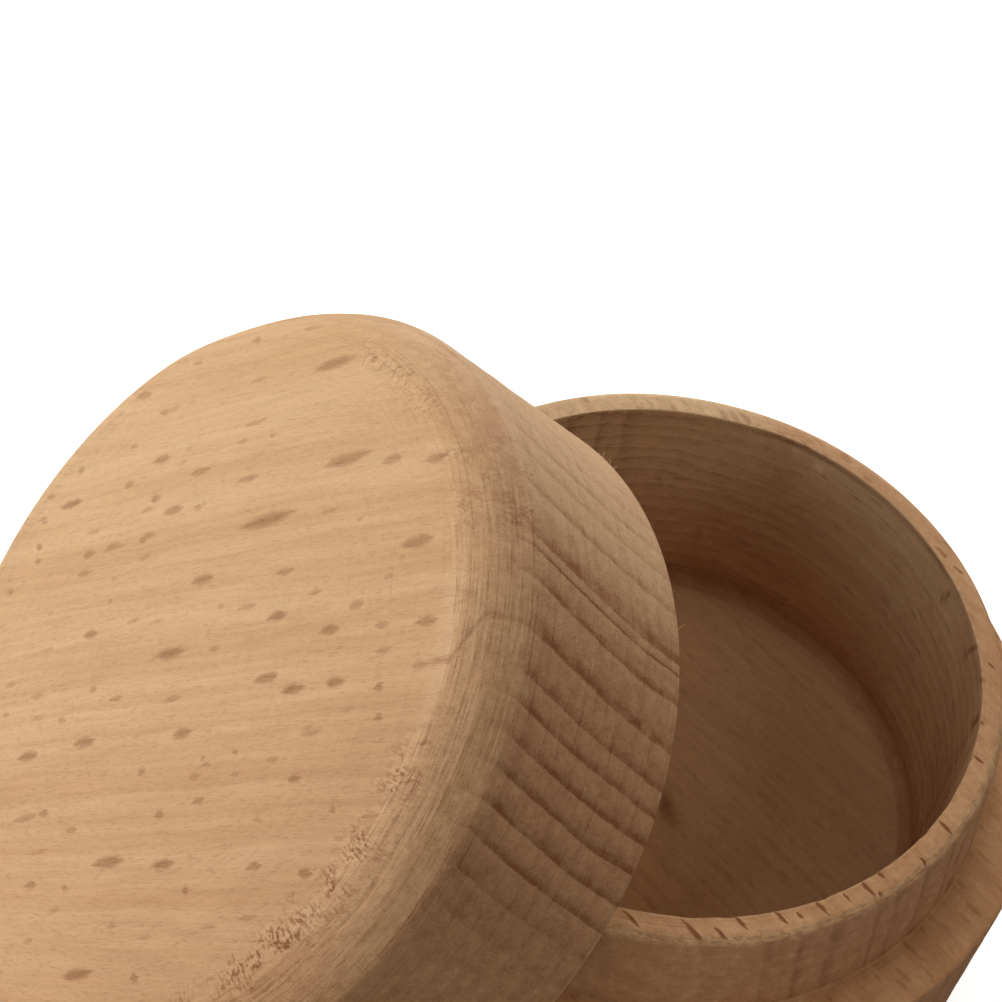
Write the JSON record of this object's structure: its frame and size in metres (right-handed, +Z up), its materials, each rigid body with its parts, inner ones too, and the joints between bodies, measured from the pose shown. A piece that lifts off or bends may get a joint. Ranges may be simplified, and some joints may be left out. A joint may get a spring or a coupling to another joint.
{
  "type": "shaving bowl with lid",
  "caption": "Turned wooden shaving bowl with a deep soap well and a stepped rim, and its loose bevelled lid leaning against the rim.",
  "frame": {"origin": "centre of the bowl's base, on the table", "axes": "+Z up along the bowl's axis, out of the soap well's mouth; the lid leans on the -X side and its axis lies in the XZ plane"},
  "size_m": [0.1442, 0.101, 0.0887],
  "materials": {
    "bowl_beech": "bare turned beech, matt, light tool marks",
    "lid_beech": "bare turned beech, matt, light tool marks"
  },
  "bodies": {
    "bowl_body": {"bowl": "bowl_beech"},
    "lid_body": {"lid": "lid_beech"}
  },
  "joints": [
    {"name": "lid_lift", "type": "slide", "parent": "bowl_body", "child": "lid_body", "axis": [-0.6984, 0, 0.7157], "range_m": [0, 0.1]}
  ]
}
